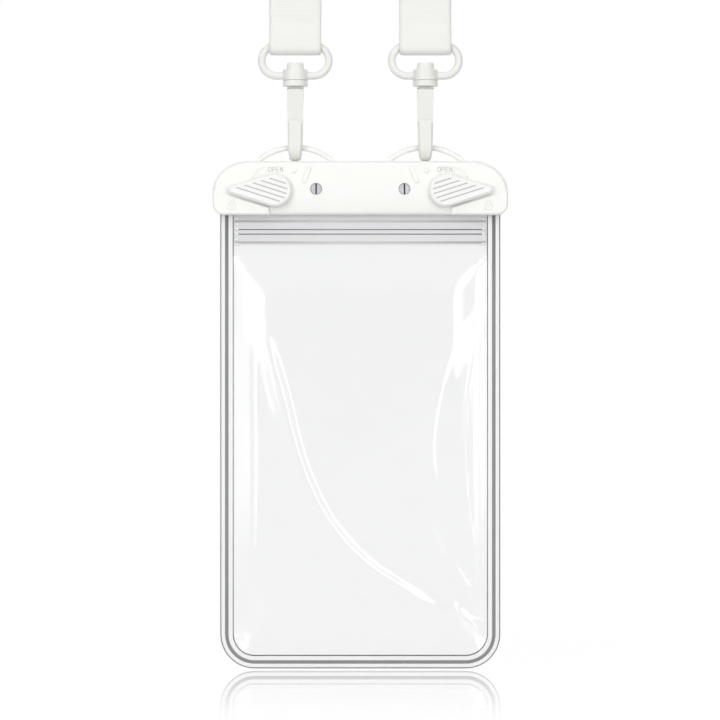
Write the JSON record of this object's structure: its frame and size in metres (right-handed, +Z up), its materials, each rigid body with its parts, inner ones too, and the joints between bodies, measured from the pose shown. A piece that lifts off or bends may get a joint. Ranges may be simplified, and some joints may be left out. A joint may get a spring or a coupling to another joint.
{
  "type": "waterproof phone case",
  "caption": "Clear waterproof pouch for a phone with a press-lock zip, a lever-locked clamp bar and a flat neck strap on swivelling snap hooks.",
  "frame": {"origin": "inner top of the neck strap's loop, where the whole thing hangs", "axes": "+Z up, front towards -Y, symmetrical about X = 0"},
  "size_m": [0.1286, 0.0227, 0.3784],
  "materials": {
    "webbing": "woven flat webbing",
    "cast_metal": "off-white lacquered die casting",
    "steel": "plain steel",
    "clamp_plastic": "off-white satin moulding",
    "lever_plastic": "off-white satin moulding",
    "cam_plastic": "natural acetal",
    "inner_plastic": "off-white moulding",
    "gasket": "soft foam strip",
    "film": "clear flexible film",
    "edge": "welded clear edge",
    "zip": "clear extruded press-lock strip"
  },
  "bodies": {
    "neck_strap": {"neck_strap": "webbing", "ring_left": "cast_metal", "ring_right": "cast_metal"},
    "case": {"front_clamp_shell": "clamp_plastic", "back_clamp_shell": "clamp_plastic", "inner_clamp_bar": "inner_plastic", "clamp_gasket": "gasket", "front_film": "film", "back_film": "film", "edge_frame": "edge", "zip_front_strip": "zip", "zip_back_strip": "zip", "clamp_screw_left": "steel", "clamp_screw_right": "steel"},
    "hook_left": {"swivel_rivet_left": "cast_metal", "hook_body_left": "cast_metal", "gate_pin_left": "steel"},
    "gate_left": {"hook_gate_left": "cast_metal"},
    "lever_left": {"lever_left": "lever_plastic", "lever_cam_left": "cam_plastic", "lever_screw_left": "steel"},
    "hook_right": {"swivel_rivet_right": "cast_metal", "hook_body_right": "cast_metal", "gate_pin_right": "steel"},
    "gate_right": {"hook_gate_right": "cast_metal"},
    "lever_right": {"lever_right": "lever_plastic", "lever_cam_right": "cam_plastic", "lever_screw_right": "steel"}
  },
  "joints": [
    {"name": "case_tilt", "type": "hinge", "parent": "neck_strap", "child": "case", "pos_m": [0, 0, -0.1494], "axis": [1, 0, 0], "range_deg": [-60, 60]},
    {"name": "hook_swivel_left", "type": "hinge", "parent": "neck_strap", "child": "hook_left", "pos_m": [-0.0284, 0, -0.12], "axis": [0, 0, 1], "range_deg": [-15, 15]},
    {"name": "gate_press_left", "type": "hinge", "parent": "hook_left", "child": "gate_left", "pos_m": [-0.0284, 0.0006, -0.12695], "axis": [1, 0, 0], "range_deg": [0, 14], "stiffness_Nm_per_rad": 0.02, "springref_deg": -17.19},
    {"name": "lever_turn_left", "type": "hinge", "parent": "case", "child": "lever_left", "pos_m": [-0.0371, -0.008, -0.1684], "axis": [0, 1, 0], "range_deg": [0, 60]},
    {"name": "hook_swivel_right", "type": "hinge", "parent": "neck_strap", "child": "hook_right", "pos_m": [0.0284, 0, -0.12], "axis": [0, 0, 1], "range_deg": [-15, 15]},
    {"name": "gate_press_right", "type": "hinge", "parent": "hook_right", "child": "gate_right", "pos_m": [0.0284, 0.0006, -0.12695], "axis": [1, 0, 0], "range_deg": [0, 14], "stiffness_Nm_per_rad": 0.02, "springref_deg": -17.19},
    {"name": "lever_turn_right", "type": "hinge", "parent": "case", "child": "lever_right", "pos_m": [0.0371, -0.008, -0.1684], "axis": [0, -1, 0], "range_deg": [0, 60]}
  ]
}
